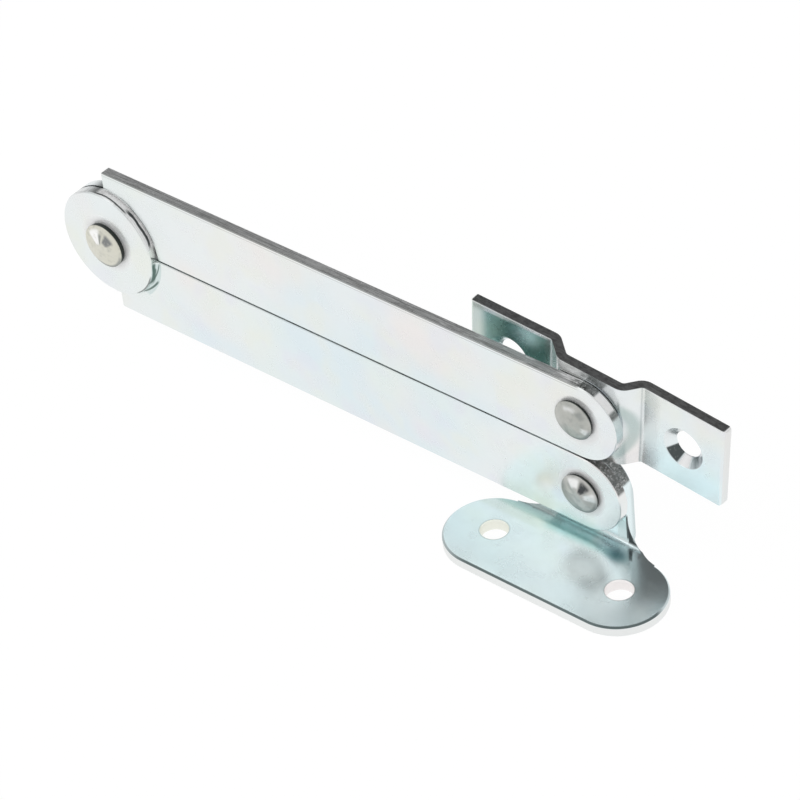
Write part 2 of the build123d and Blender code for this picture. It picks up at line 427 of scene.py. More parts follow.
def pits(f, look):
    """Scattered pinholes in the plating."""
    holes = f.specks(8.0, 0.16)
    f.paint(holes, look.pit, 0.4)
    f.raise_by(holes, -0.015)


def sheared(f, inside, depth, burnish, look):
    """A sheared edge, by depth from the punch side: a bright burnished band as
    deep as burnish, then grey torn metal with short streaks."""
    torn = f.noise(0.55, detail=5.0, rough=0.7, stretch=(3.0, 1, 1), shift=2.2)
    grain = f.noise(0.2, detail=3.0, rough=0.7, shift=6.1)
    f.paint(inside, look.torn)
    f.paint(f.both(inside, torn), look.torn_light, 0.6)
    f.paint(f.both(inside, grain), look.torn_dark, 0.25)
    f.roughen(inside, 0.45)
    f.raise_by(f.both(inside, grain), -0.02)
    f.raise_by(f.both(inside, torn), 0.03)
    bright = f.both(inside, f.fade(depth, 0.1, 0.18), f.fade(depth, burnish + 0.08, burnish - 0.08))
    f.paint(bright, look.burnish, 0.9)
    f.roughen(bright, 0.25)


def mottle(f, where, look, dark=0.9):
    """Torn metal left rough and dark, with light flecks and black hollows."""
    fleck = f.noise(0.33, detail=5.0, rough=0.7, stretch=(1, 1.8, 1), distort=1.2,
                    low=0.5, high=0.66, shift=12.6)
    hollow = f.noise(0.9, detail=4.0, rough=0.7, distort=0.8, low=0.48, high=0.66, shift=21.3)
    f.paint(where, look.mottle, dark)
    f.paint(f.both(where, fleck), look.burnish, 0.7)
    f.paint(f.both(where, hollow), look.groove, 0.6)
    f.roughen(where, 0.4)
    f.raise_by(f.both(where, fleck), 0.03)


def arm_finish(name, look, lower):
    """Zinc for one arm. The flat faces stay bright; what lies between them in
    depth is sheared, apart from the disc's own front."""
    f = zinc(name, look)
    pits(f, look)
    (_, _, bottom), (end, _, top) = box_mm("lower_arm" if lower else "upper_arm")
    strip = (bottom, bottom + ARM_WIDTH) if lower else (top - ARM_WIDTH, top)
    centre = (end - END_R, sum(strip) / 2)
    thickness = f.band(f.y, ARM_FRONT + 0.16, ARM_BACK - 0.06, 0.04)
    arm_edges(f, look, lower, strip, centre, thickness)
    rivet_rings(f, look, lower)
    away, angle = f.round_axis(*centre)
    past = f.fade(f.x, centre[0] - 0.01, centre[0] + 0.01)
    rim = f.both(past, f.fade(away, END_R - 0.22, END_R - 0.12), thickness)
    if lower:
        mottle(f, f.both(rim, f.fade(angle, 17, 23)), look)
        knuckle_marks(f, look)
    else:
        knuckle_lip(f, look)
        upper_end(f, look, rim, angle)
    return f.done()


def arm_edges(f, look, lower, strip, centre, thickness):
    """The long edges of a strip. The top one is torn, with lines drawn along it and
    scratches towards the brackets, and the bottom one is smooth and teal. The
    upper arm's front corner is painted dark as painted shade, with a painted
    highlight line on the face just below it and a faint painted shade line below
    that, and its top edge is mottled where the round end starts."""
    low, high = strip
    clear = f.fade(f.x, KNUCKLE[0] + 0.1, KNUCKLE[0] + 0.2)
    run = f.both(clear, f.fade(f.x, centre[0] + 0.5, centre[0] - 0.5))
    top, bottom = f.fade(f.z, high - 0.22, high - 0.12), f.fade(f.z, low + 0.22, low + 0.12)
    edge = f.both(f.math("MAXIMUM", top, bottom), thickness)
    over = f.both(edge, run, f.fade(f.z, centre[1] - 1.0, centre[1] + 1.0))
    beneath = f.both(edge, run, f.fade(f.z, centre[1] + 1.0, centre[1] - 1.0))
    sheared(f, over, f.math("SUBTRACT", f.y, ARM_FRONT), 0.1, look)
    f.paint(beneath, look.under, 0.9)
    if not lower:
        # painted highlight and painted shade lines along the upper arm's front top corner
        front = f.both(run, f.fade(f.y, ARM_FRONT + 0.14, ARM_FRONT + 0.1))
        f.paint(f.both(front, f.band(f.z, high - 0.3, high - 0.12, 0.06)), look.polish_and_painted_light, 0.9)
        f.paint(f.both(front, f.band(f.z, high - 0.72, high - 0.52, 0.08)), look.mottle, 0.22)
        corner = f.both(f.fade(f.z, high - 0.3, high - 0.2),
                        f.fade(f.y, ARM_FRONT + 0.26, ARM_FRONT + 0.18))
        f.paint(f.both(run, corner), look.mottle, 0.7)
        start = f.both(f.fade(f.x, -1.5, -0.8), f.fade(f.y, ARM_FRONT + 1.6, ARM_FRONT + 1.4))
        mottle(f, f.both(edge, clear, start), look)
    drawn = f.noise(0.16, detail=2.0, stretch=(60, 1, 1), low=0.45, high=0.6, shift=17.0)
    f.paint(f.both(over, drawn), look.torn_light, 0.55)
    thread = f.noise(0.2, detail=2.0, stretch=(45, 1, 1), low=0.5, high=0.62, shift=41.0)
    f.paint(f.both(over, thread), look.mottle, 0.5)
    scratch = f.noise(0.4, detail=3.0, stretch=(8, 1, 1), low=0.55, high=0.65, shift=30.2)
    f.paint(f.both(over, f.fade(f.x, -34, -24), scratch), look.burnish, 0.85)


def rivet_rings(f, look, lower):
    """Painted light on an arm's face round the rivet heads on it, and on the disc's front round the knuckle
    rivet: painted white and less mirror-like, so the heads' dark reflection fades.
    """
    away, _ = f.round_axis(0.0, LOW[2] if lower else HIGH[2])
    ring = f.both(f.fade(away, 5.2, 4.2), f.fade(f.y, ARM_FRONT + 0.1, ARM_FRONT + 0.05))
    if lower:
        away, _ = f.round_axis(KNUCKLE[0], KNUCKLE[2])
        disc = f.both(f.fade(away, 6.3, 5.0), f.fade(f.y, ARM_FRONT - 0.5, ARM_FRONT - 0.6))
        ring = f.math("ADD", ring, disc)
    # painted light: whitened, less mirror-like zinc round the heads
    f.paint_pale_matte(ring, look.polish_and_painted_light, 0.75, 0.5, 0.45)


def knuckle_lip(f, look):
    """The drawn-in lip of the upper arm's recess, painted pale and less mirror-like beside the disc as a
    painted highlight.
    """
    away, _ = f.round_axis(KNUCKLE[0], KNUCKLE[2])
    lip = f.both(f.band(away, DISC_R + 0.11, DISC_R + 1.15, 0.06),
                 f.band(f.y, ARM_FRONT + 0.08, ARM_FRONT + 1.6, 0.05))
    # painted highlight on the lip
    f.paint_pale_matte(lip, look.polish_and_painted_light, 1.0, 0.35, 0.4)


def upper_end(f, look, rim, angle):
    """The upper arm's round end: mottled at the top, then a pale patch painted white
    and matte as a painted highlight, with a painted shadow behind it, mottled again,
    and a dull teal quarter."""
    mottle(f, f.both(rim, f.fade(angle, 60, 67)), look)
    # painted highlight: a white, matte patch on the rim
    patch = f.both(rim, f.band(angle, 35, 64, 2), f.fade(f.y, ARM_BACK - 0.3, ARM_BACK - 0.42))
    f.paint_pale_matte(patch, look.polish_and_painted_light, 1.0, 0.0)
    mottle(f, f.both(rim, f.band(angle, 25, 35, 3)), look, 0.8)
    f.paint(f.both(rim, f.band(angle, -6, 24, 4)), look.cove, 0.6)
    # painted shadow behind the patch
    shadow = f.both(rim, f.band(angle, 35, 64, 3), f.fade(f.y, ARM_BACK - 0.42, ARM_BACK - 0.3))
    f.paint(shadow, look.mottle, 0.8)


def knuckle_marks(f, look):
    """The pressed step round the lower arm's disc. Its dark lines are painted shade and
    reflection in the groove; they follow the depth behind the disc's front, which
    wanders a little as drawn metal does."""
    away, angle = f.round_axis(KNUCKLE[0], KNUCKLE[2])
    wander = f.math("SUBTRACT", f.noise(3.0, detail=2.0, low=0.3, high=0.7, shift=1.1), 0.5)
    level = f.line(f.math("SUBTRACT", f.y, DISC_FRONT), 0.2, wander)
    streak = f.noise(0.5, detail=4.0, rough=0.7, stretch=(0.35, 4, 1), shift=7.7)
    knuckle_step(f, look, away, angle, level, streak)
    knuckle_cove(f, look, away, angle, level)
    knuckle_rim(f, look, away, angle, streak)


def knuckle_step(f, look, away, angle, level, streak):
    """The side wall of the disc. It is painted pale at the right as a painted highlight,
    with dark lines of painted shade and reflection, and has grey drawn streaks at its
    top with a painted shade line in the gap."""
    step = f.both(f.fade(away, DISC_R - 0.3, DISC_R - 0.15),
                  f.fade(f.y, DISC_FRONT + 0.1, DISC_FRONT + 0.2))
    wall = f.both(step, f.fade(away, DISC_R + 0.22, DISC_R + 0.1))
    # painted highlight on the wall's right side
    f.paint_pale_matte(f.both(wall, f.band(angle, 14, 96, 3)), look.polish_and_painted_light, 0.9, 0.25, 0.4)
    # painted shade and reflection: two dark lines on the wall
    high_line = f.both(f.band(angle, 57, 98, 3), f.band(level, 0.3, 0.62, 0.1))
    f.paint(f.both(wall, high_line), look.groove, 0.95)
    low_line = f.both(f.band(angle, 16, 58, 4), f.band(level, 0.72, 1.25, 0.1))
    f.paint(f.both(wall, low_line), look.groove, 0.97)
    drawn = f.both(step, f.band(angle, 97, 141, 4))
    f.paint(f.both(drawn, streak), look.torn, 0.75)
    # painted shade: a dark line in the gap at the top
    f.paint(f.both(drawn, f.band(level, 1.9, 2.1, 0.08)), look.groove, 0.8)


def knuckle_cove(f, look, away, angle, level):
    """The greener, duller cove beside the disc, with two dark lines in it, a thin
    dark crescent along a spiral and a fine line on the strip's face; these dark
    lines are painted shade and reflection."""
    cove = f.both(f.fade(away, DISC_R - 0.25, DISC_R - 0.15),
                  f.fade(away, DISC_R + 1.35, DISC_R + 1.25),
                  f.band(angle, -50, -2, 3),
                  f.fade(f.y, DISC_FRONT + 0.1, DISC_FRONT + 0.2))
    f.paint(cove, look.cove, 0.8)
    # painted shade and reflection: two dark lines in the cove
    for low, high, start, end in ((0.3, 0.85, -36, -22), (1.4, 2.0, -26, -14)):
        drawn = f.both(cove, f.band(level, low, high, 0.12), f.fade(angle, start, end))
        f.paint(drawn, look.cove_shade_line, 0.95)
    # painted shade: a thin dark crescent along a spiral
    past = f.math("SUBTRACT", away, f.line(DISC_R + 1.87, 0.034, angle))
    crescent = f.both(f.band(past, -0.22, 0.16, 0.08), f.band(angle, -50, -25, 3),
                      f.fade(f.y, DISC_FRONT + 0.3, DISC_FRONT + 0.4))
    f.paint(crescent, look.cove_shade_line, 0.9)
    # painted shade: a fine dark line on the strip's face
    past = f.math("SUBTRACT", away, f.line(DISC_R + 0.97, 0.0326, angle))
    fine = f.both(f.band(past, -0.1, 0.1, 0.07), f.band(angle, -30, -3, 2),
                  f.fade(f.y, ARM_FRONT + 0.6, ARM_FRONT + 0.4))
    f.paint(fine, look.cove_shade_line, 0.85)


def knuckle_rim(f, look, away, angle, streak):
    """A painted shade line along the lower right of the disc's front rim, and grey
    streaks at its upper right."""
    face = f.fade(f.y, DISC_FRONT + 0.35, DISC_FRONT + 0.25)
    rim = f.both(face, f.band(away, DISC_R - 0.25, DISC_R - 0.03, 0.05))
    # painted shade line along the rim
    f.paint(f.both(rim, f.band(angle, -56, -20, 4)), look.groove, 0.7)
    worn = f.both(face, f.fade(away, DISC_R - 0.65, DISC_R - 0.15), f.band(angle, 45, 75, 6))
    f.paint(f.both(worn, streak), look.torn, 0.4)


def plate_finish(name, look):
    """Zinc for the plate bracket, bluer than the arms."""
    f = zinc(name, look)
    f.paint(0.8, look.plate)
    plate_top(f, look)
    f.raise_by(f.noise(2.6, detail=3.0, low=0.25, high=0.75, shift=1.7), 0.0015)
    pits(f, look)
    plate_edges(f, look)
    plate_ear(f, look)
    return f.done()


def plate_top(f, look):
    """The plate's upper face. It turns green and then teal along the bend, the teal and
    its darker right end a painted reflection of dark surroundings; beyond a streak
    that runs from the bend past the right screw hole it is painted dull, a painted
    reflection of dark surroundings, with a dark line along the streak near the bend.
    Before that hole a pale, less mirror-like patch is painted light that hides the
    lower rivet's reflection, and a faint painted reflection of that rivet lies there."""
    top = f.fade(f.z, 1.9, 2.1)
    f.paint(f.both(top, f.band(f.y, 4.3, 7.4, 0.7), f.fade(f.x, -5.0, -9.5)), look.plate_green, 0.6)
    f.paint(f.both(top, f.fade(f.y, 6.6, 7.6), f.band(f.x, -15, -8, 1.2)), look.stain, 0.3)
    # painted reflection: teal along the bend
    bend = f.both(top, f.band(f.y, 5.3, 7.1, 0.8), f.fade(f.z, 3.4, 2.6), f.band(f.x, -7.0, 9.2, 1.4))
    f.paint(bend, look.bend, 0.75)
    # painted reflection: darkest teal at the bend's right end
    f.paint(f.both(top, f.spot((7.8, 6.6, 2.2), (3.2, 2.8, 2.0))), look.bend_dark, 0.7)
    # painted reflection: the rear beyond the streak darkened
    streak = f.math("SUBTRACT", f.x, f.line(14.76, -0.6825, f.y))
    rear = f.fade(f.math("ADD", f.y, f.math("MULTIPLY", f.x, -0.2)), -8.0, -1.0)
    f.paint(f.both(top, f.fade(streak, 0.2, 0.9), rear), look.stain, 0.36)
    f.paint(f.both(top, f.band(streak, -0.1, 0.55, 0.15), f.band(f.y, 6.7, 8.6, 0.4)), look.groove, 0.7)
    # painted light: a pale, less mirror-like patch that hides the lower rivet's reflection
    f.paint_pale_matte(f.both(top, f.spot((4.9, 1.2, 2.2), (6.6, 5.6, 2.0), 0.1)), look.plate_painted_light, 0.7, 0.08)
    # painted reflection of the lower rivet
    f.paint(f.both(top, f.spot((7.9, -1.6, 2.2), (3.0, 2.3, 2.0), 0.1)), look.stain, 0.22)


def plate_edges(f, look):
    """The plate's blanked edge, its dark front brink, which thins out to the
    right, and the walls of the screw holes with a dull line round each."""
    rim = f.both(f.band(f.z, 0.2, 1.85, 0.1), f.fade(f.y, 9.0, 8.8))
    f.paint(rim, look.plate_edge, 0.85)
    f.roughen(rim, 0.4)
    over = f.math("MAXIMUM", f.math("SUBTRACT", f.math("ABSOLUTE", f.x), SCREW_X), 0.0)
    along = f.math("ADD", f.y, PLATE_FORWARD)
    square = f.math("ADD", f.math("MULTIPLY", over, over), f.math("MULTIPLY", along, along))
    reach = f.math("SQRT", square)
    brink = f.both(f.fade(reach, PLATE_R - 0.38, PLATE_R - 0.24), f.fade(f.z, 1.82, 1.9),
                   f.fade(f.z, 2.6, 2.4), f.fade(f.y, 1.0, -1.5))
    f.paint(f.both(brink, f.fade(f.x, -19, -12)), look.brink, 0.9)
    f.paint(f.both(brink, f.fade(f.x, -12, -19)), look.brink, 0.4)
    top = f.fade(f.z, 1.9, 2.1)
    for x, wall in ((-SCREW_X, look.hole_left), (SCREW_X, look.hole_right)):
        away, _ = f.round_post(x, 0.0)
        f.paint(f.fade(away, SCREW_R + 0.15, SCREW_R + 0.05), wall, 0.9)
        f.paint(f.both(top, f.band(away, SCREW_R + 0.05, SCREW_R + 0.27, 0.08)), look.stain, 0.3)


def plate_ear(f, look):
    """The ear and its flare: painted pale and less mirror-like at its foot and at the
    flare's left tip, painted light that hides reflections there, mottled round its
    top, with a dark wedge of painted shade and reflection and a painted shade line
    down its right edge."""
    # painted light: a pale, less mirror-like patch that hides a teal reflection
    foot = f.both(f.band(f.y, PLATE_BACK - 2.4, PLATE_BACK - 2.08, 0.05), f.fade(f.x, 5.0, 6.0),
                  f.fade(f.z, 7.5, 6.5), f.fade(f.z, 2.4, 3.0))
    f.paint_pale_matte(foot, look.plate_painted_light, 0.9, 0.4)
    # painted light: a pale patch that hides a dark reflection at the flare's tip
    tip = f.both(f.fade(f.x, -6.5, -7.2), f.fade(f.y, 8.1, 8.6), f.fade(f.z, 1.6, 1.8))
    f.paint_pale_matte(tip, look.plate_painted_light, 0.8, 0.3)
    away, angle = f.round_axis(0.0, LOW[2])
    curved = f.both(f.fade(away, END_R - 0.12, END_R - 0.04), f.fade(f.z, LOW[2] - 3.0, LOW[2] - 2.8))
    thick = f.band(f.y, PLATE_BACK - 2.12, PLATE_BACK - 0.08, 0.04)
    mottle(f, f.both(curved, thick, f.fade(angle, 20, 25)), look)
    # painted shade and reflection: a dark wedge on the ear's front
    wedge = f.both(f.fade(f.x, 7.3, 7.4), f.band(f.z, 3.2, 8.2, 0.4),
                   f.fade(f.y, PLATE_BACK - 1.85, PLATE_BACK - 1.98))
    f.paint(wedge, look.groove, 0.9)
    # painted shade: a dark line down the ear's right edge
    border = f.line(7.61, 0.0366, f.math("SUBTRACT", 7.1, f.z))
    face = f.both(f.fade(f.y, PLATE_BACK - 2.05, PLATE_BACK - 2.15), f.band(f.z, 2.6, 7.8, 0.25))
    f.paint(f.both(face, f.fade(f.math("SUBTRACT", f.x, border), -0.06, 0.04)), look.groove, 0.95)


def lid_finish(name, look):
    """Zinc for the lid bracket: near-black torn top edge, partly torn metal and
    partly painted reflection of dark surroundings, with a painted highlight along
    its front, smooth light ends, a painted dark teal reflection with a painted
    highlight where the left wing turns, a painted shadow beside the upper arm's end,
    and darker lines along the folds."""
    f = zinc(name, look)
    f.turn((0.0, 0.0, HIGH[2]), LID_HANGS)
    pits(f, look)
    rise = f.math("SUBTRACT", f.z, HIGH[2])
    wing_face = f.fade(f.y, WING_FRONT + WING_SKIN, WING_FRONT)
    right = f.fade(f.x, 9.0, 11.0)
    left = f.both(f.fade(f.x, -8.8, -9.6), wing_face)
    f.paint(f.both(right, f.fade(rise, 3.0, -6.0)), look.lid_blue, 0.7)
    f.paint(f.both(left, f.fade(f.x, -22.6, -23.8)), look.plate_green, 0.7)
    # painted reflection: dark teal low on the left wing's face, with a painted highlight in it
    under_edge = f.fade(f.line(rise, -0.03, f.x), LID_TOP - 0.25, LID_TOP - 0.65)
    f.paint(f.both(left, under_edge, f.band(f.x, -23.3, -9.9, 1.2)), look.lid_teal, 0.8)
    gleam = f.spot((-15, 13.0, HIGH[2] + 6.9), (4.2, 4.0, 3.4), 0.2)
    f.paint(f.both(left, under_edge, gleam), look.teal_highlight, 0.8)
    # painted shadow beside the upper arm's round end
    away, angle = f.round_axis(0.6, HIGH[2])
    f.paint(f.both(f.band(away, 7.3, 8.8, 0.5), f.band(angle, -50, 42, 10)), look.beside, 0.6)
    f.bloom(f.both(wing_face, f.band(f.x, 9.6, 12.6, 0.8)), 0.55)
    wings = f.math("ADD", right, left, clamp=True)
    # painted highlight along the top's front edge
    front_brink = f.both(wings, f.band(rise, LID_TOP - 0.39, LID_TOP - 0.13, 0.06))
    f.paint_pale_matte(front_brink, look.polish_and_painted_light, 0.8, 0.3)
    # near-black top: torn metal, darkened further as a painted reflection of dark surroundings
    top = f.fade(rise, LID_TOP - 0.15, LID_TOP - 0.05)
    torn = f.noise(0.5, detail=5.0, rough=0.7, stretch=(2.5, 1, 1), shift=4.4)
    f.paint(top, look.torn_dark, 0.95)
    f.paint(f.both(top, torn), look.torn, 0.22)
    f.roughen(top, 0.55)
    f.raise_by(f.both(top, torn), 0.03)
    fold = f.math("ADD", f.band(f.x, 9.25, 9.45, 0.12), f.band(f.x, -9.5, -8.9, 0.25))
    f.paint(f.both(fold, f.fade(rise, LID_TOP - 0.05, LID_TOP - 0.25)), look.fold, 0.35)
    countersink(f, LID_SCREW, look)
    ends = f.fade(f.math("ABSOLUTE", f.x), LID_END - 0.25, LID_END - 0.1)
    f.paint(ends, look.plate_edge, 0.8)
    f.roughen(ends, 0.4)
    return f.done()


def countersink(f, centre, look):
    """The cone of a countersunk hole, with the drill's chatter: dark and torn
    towards the lower left, bright at the bottom, grey to the right."""
    away, angle = f.round_axis(*centre)
    cone = f.both(f.fade(away, COUNTERSINK_R, COUNTERSINK_R - 0.15),
                  f.fade(away, LID_SCREW_R - 0.15, LID_SCREW_R - 0.05))
    ripple = f.noise(0.22, detail=2.0, low=0.3, high=0.75, shift=3.9)
    f.paint(f.both(cone, f.band(angle, -67, 2, 4)), look.cone_grey, 0.6)
    f.paint(f.both(cone, f.band(angle, -67, -33, 4), ripple), look.stain, 0.6)
    torn = f.both(cone, f.band(angle, -152, -107, 3))
    f.paint(torn, look.groove, 0.9)
    f.paint(f.both(torn, f.fade(ripple, 0.85, 0.98)), look.torn, 0.5)
    f.roughen(torn, 0.5)
    f.paint_pale_matte(f.both(cone, f.band(angle, -103, -72, 3)), look.polish_and_painted_light, 1.0, 0.2)


def rivet_finish(name, look, centre, head, rim, back, colour, marks):
    """Satin steel of a rivet, warmer and duller than the zinc, with soft upset
    lines, the lower right of the head's rim painted darker as painted shade, and a
    side wall painted nearly black as painted shade from the depth rim to the depth
    back. Marks are wedges of the head: the light ones are painted highlights, the
    dark ones partly dull places left by the upsetting tool and partly painted shade."""
    f = Finish(name, colour, look.rivet_rough)
    f.paint(f.noise(2.6, detail=2.0, low=0.35, high=0.7, shift=2.7), look.rivet_light, 0.22)
    f.paint(f.noise(1.1, detail=3.0, low=0.45, high=0.75, shift=9.4), look.rivet_dull_and_shade, 0.3)
    smear = f.noise(0.9, detail=3.0, low=0.1, high=0.45, shift=5.5)
    away, angle = f.round_axis(*centre)
    front = f.fade(f.y, rim + 0.1, rim)
    for start, end, inside, outside, shade, strength in marks:
        wedge = f.both(f.band(angle, start, end, 7), f.band(away, inside, outside, 0.4))
        f.paint(f.both(wedge, smear, front), getattr(look, shade), strength)
    # painted shade: the lower right of the head's rim darker
    foot = f.both(f.fade(away, head - 0.75, head - 0.25), f.band(angle, -115, -15, 18))
    f.paint(f.both(front, foot), look.rivet_dull_and_shade, 0.75)
    # painted shade: the side wall nearly black
    wall = f.both(f.fade(away, head - 0.35, head - 0.25), f.band(f.y, rim + 0.1, back + 0.05, 0.06))
    f.paint(wall, look.groove, 0.95)
    f.roughen(wall, 0.5)
    grain = f.noise(0.3, detail=4.0, rough=0.65)
    f.roughen(f.both(grain, front), look.rivet_rough + 0.12)
    f.raise_by(grain, 0.003)
    f.raise_by(f.noise(1.6, detail=2.0, shift=4.0), 0.012)
    return f.done()


# Marks on the heads: from and to in degrees and in radius, look, strength. The light looks are painted
# highlights; the dark ones are partly tool marks and partly painted shade.
LOWER_MARKS = (
    (86, 130, 1.7, 3.3, "polish_and_painted_light", 0.8),
    (40, 78, 1.0, 3.2, "rivet_mark", 0.95),
    (-4, 26, 1.4, 3.5, "polish_and_painted_light", 0.75),
    (150, 300, 0.8, 2.6, "rivet_light", 0.5),
)
UPPER_MARKS = (
    (72, 125, 2.3, 2.9, "burnish", 0.6),
    (30, 62, 2.2, 3.2, "rivet_dull_and_shade", 0.5),
    (-34, -9, 2.1, 3.5, "burnish", 0.6),
)
KNUCKLE_MARKS = (
    (96, 142, 0.9, 3.7, "polish_and_painted_light", 0.9),
    (82, 96, 0.9, 2.9, "rivet_dull_and_shade", 0.8),
    (30, 70, 1.5, 3.4, "rivet_blue", 0.85),
)


def give(node, material):
    """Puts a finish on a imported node."""
    for place in NODES[node].material_slots:
        place.material = material


# ---------------------------------------------------------------- settings


def tint(name, description, default):
    return bpy.props.FloatVectorProperty(
        name=name, description=description, default=default, subtype="COLOR", size=3, min=0, max=1)


def length(name, description, default):
    return bpy.props.FloatProperty(name=name, description=description, default=default, unit="LENGTH", min=0)


def shift(name, description, default):
    return bpy.props.FloatProperty(name=name, description=description, default=default, unit="LENGTH")


def factor(name, description, default, high=1.0):
    return bpy.props.FloatProperty(
        name=name, description=description, default=default, subtype="FACTOR", min=0, max=high)


class StayRivets(bpy.types.PropertyGroup):
    """Sizes of the three rivets."""

    head: length("Bracket head", "Radius of the two bracket rivets' heads", 0.00375)
    knuckle_head: length("Knuckle head", "Radius of the knuckle rivet's head", 0.00440)
    rim_rise: length("Bracket rim", "Height of a bracket rivet's side wall", 0.0006)
    knuckle_rise: length("Knuckle rim", "Height of the knuckle rivet's side wall", 0.0010)
    dome: length("Dome", "Rise of each dome above its rim", 0.0008)
    rim_round: length("Rim radius", "Rounding where a dome meets its side wall", 0.00015)
    shank: length("Shank", "Radius of all three shanks", 0.0025)
    tail: length("Tail", "Radius of the formed tails", 0.0037)
    tail_height: length("Tail height", "Height of the formed tails", 0.0012)
    offset_x: shift("Upper offset X", "The upper head's shift along the arms", -0.00025)
    offset_z: shift("Upper offset Z", "The upper head's shift upwards", 0.00045)
    lumps: factor("Hammering", "How uneven the upset heads are", 0.8)


class StayLook(bpy.types.PropertyGroup):
    """Colours and roughness of the plated metal."""

    zinc: tint("Zinc", "Plain bright zinc", (0.83, 0.865, 0.87))
    zinc_blue: tint("Blue cloud", "Blue clouds in the plating", (0.72, 0.83, 0.88))
    zinc_warm: tint("Warm cloud", "Pinkish clouds in the plating", (0.87, 0.82, 0.80))
    zinc_green: tint("Green cloud", "Greenish clouds in the plating", (0.80, 0.865, 0.82))
    zinc_yellow: tint("Yellow cloud", "Small yellowish clouds in the plating", (0.84, 0.85, 0.76))
    zinc_violet: tint("Violet cloud", "Small violet clouds in the plating", (0.78, 0.79, 0.87))
    zinc_rough: factor("Zinc roughness", "Roughness of the flat faces", 0.22)
    plate: tint("Plate", "Bluer zinc of the plate bracket", (0.80, 0.92, 0.94))
    plate_green: tint("Plate, green", "Greenish zinc along the back of the plate", (0.70, 0.80, 0.74))
    # painted light: pale, less mirror-like patches that hide reflections on the plate
    plate_painted_light: tint("Plate, dusty", "Whitish bloom on the plate", (0.86, 0.97, 0.97))
    plate_edge: tint("Blanked edge", "Smooth blanked edges", (0.85, 0.85, 0.84))
    # painted reflection of dark surroundings along the plate's bend
    bend: tint("Bend", "Teal zinc along the plate's bend", (0.48, 0.74, 0.74))
    # painted highlight on the lid bracket's left wing
    teal_highlight: tint("Bend, light", "Lighter teal beside the bend", (0.62, 0.84, 0.84))
    # painted reflection at the bend's right end
    bend_dark: tint("Bend, dark", "Darkest teal, at the bend's right end", (0.10, 0.22, 0.26))
    # dull patches; on the plate's right rear and beside the right hole they are painted reflections
    stain: tint("Stain", "Dull patches on the plate", (0.30, 0.35, 0.35))
    lid_blue: tint("Lid, blue", "Bluer zinc low on the right wing", (0.78, 0.92, 0.96))
    # painted reflection of dark surroundings on the left wing
    lid_teal: tint("Lid, teal", "Dark teal of the left wing", (0.16, 0.36, 0.33))
    fold: tint("Fold", "Worn lines in the lid bracket's folds", (0.25, 0.30, 0.31))
    cone_grey: tint("Countersink", "Grey of the countersink's right side", (0.55, 0.60, 0.64))
    pit: tint("Pits", "Pinholes in the plating", (0.45, 0.46, 0.46))
    # also painted highlights on the upper rivet's head
    burnish: tint("Burnish", "Burnished band of a sheared edge", (0.90, 0.91, 0.91))
    torn: tint("Torn metal", "Torn part of a sheared edge", (0.52, 0.53, 0.53))
    torn_light: tint("Torn metal, light", "Bright flecks in the torn part", (0.78, 0.79, 0.79))
    torn_dark: tint("Torn metal, dark", "Dark hollows in the torn part", (0.075, 0.075, 0.075))
    # also painted shade and shadow on the upper arm
    mottle: tint("Mottled metal", "Rough torn metal of the round ends", (0.13, 0.135, 0.13))
    # painted shade in lines, gaps and on the rivets' side walls, black hollows in torn metal, and the
    # countersink's dark side
    groove: tint("Groove", "Nearly black lines in the pressed step", (0.02, 0.03, 0.03))
    cove: tint("Cove", "Dull teal grey under the disc's right side", (0.62, 0.72, 0.71))
    cove_shade_line: tint("Cove line", "Dark green lines in the cove", (0.09, 0.15, 0.13))
    # painted highlights and painted light, and polished places
    polish_and_painted_light: tint("Shine", "Polished places", (1.0, 1.0, 1.0))
    under: tint("Under edge", "Teal zinc on the arms' lower edges", (0.60, 0.78, 0.77))
    beside: tint("Shadow line", "Grey teal beside the upper arm's end", (0.34, 0.46, 0.44))
    brink: tint("Brink", "Dark broken edge of the plate", (0.07, 0.10, 0.10))
    hole_left: tint("Left hole", "Olive wall of the left screw hole", (0.88, 0.89, 0.80))
    hole_right: tint("Right hole", "Pinkish wall of the right screw hole", (0.93, 0.89, 0.88))
    rivet: tint("Lower rivet", "Satin steel of the lower rivet", (0.50, 0.50, 0.48))
    rivet_dull: tint("Upper rivet", "Greenish steel of the upper rivet", (0.46, 0.47, 0.44))
    rivet_warm: tint("Knuckle rivet", "Warm steel of the knuckle rivet", (0.70, 0.69, 0.60))
    # also a painted highlight on the lower rivet's head
    rivet_light: tint("Rivet, light", "Polished places on the rivets", (0.72, 0.71, 0.67))
    # dull places, also painted shade on the rivet heads
    rivet_dull_and_shade: tint("Rivet, dark", "Dull places on the rivets", (0.20, 0.22, 0.22))
    # dark wedges on the heads, partly tool marks and partly painted shade
    rivet_mark: tint("Rivet, mark", "Darkest marks on the rivets", (0.05, 0.055, 0.06))
    # a dark wedge on the knuckle head, partly a tool mark and partly painted shade
    rivet_blue: tint("Rivet, blue", "Blue-grey mark on the knuckle rivet", (0.17, 0.18, 0.195))
    rivet_rough: factor("Rivet roughness", "Roughness of the rivets", 0.28)


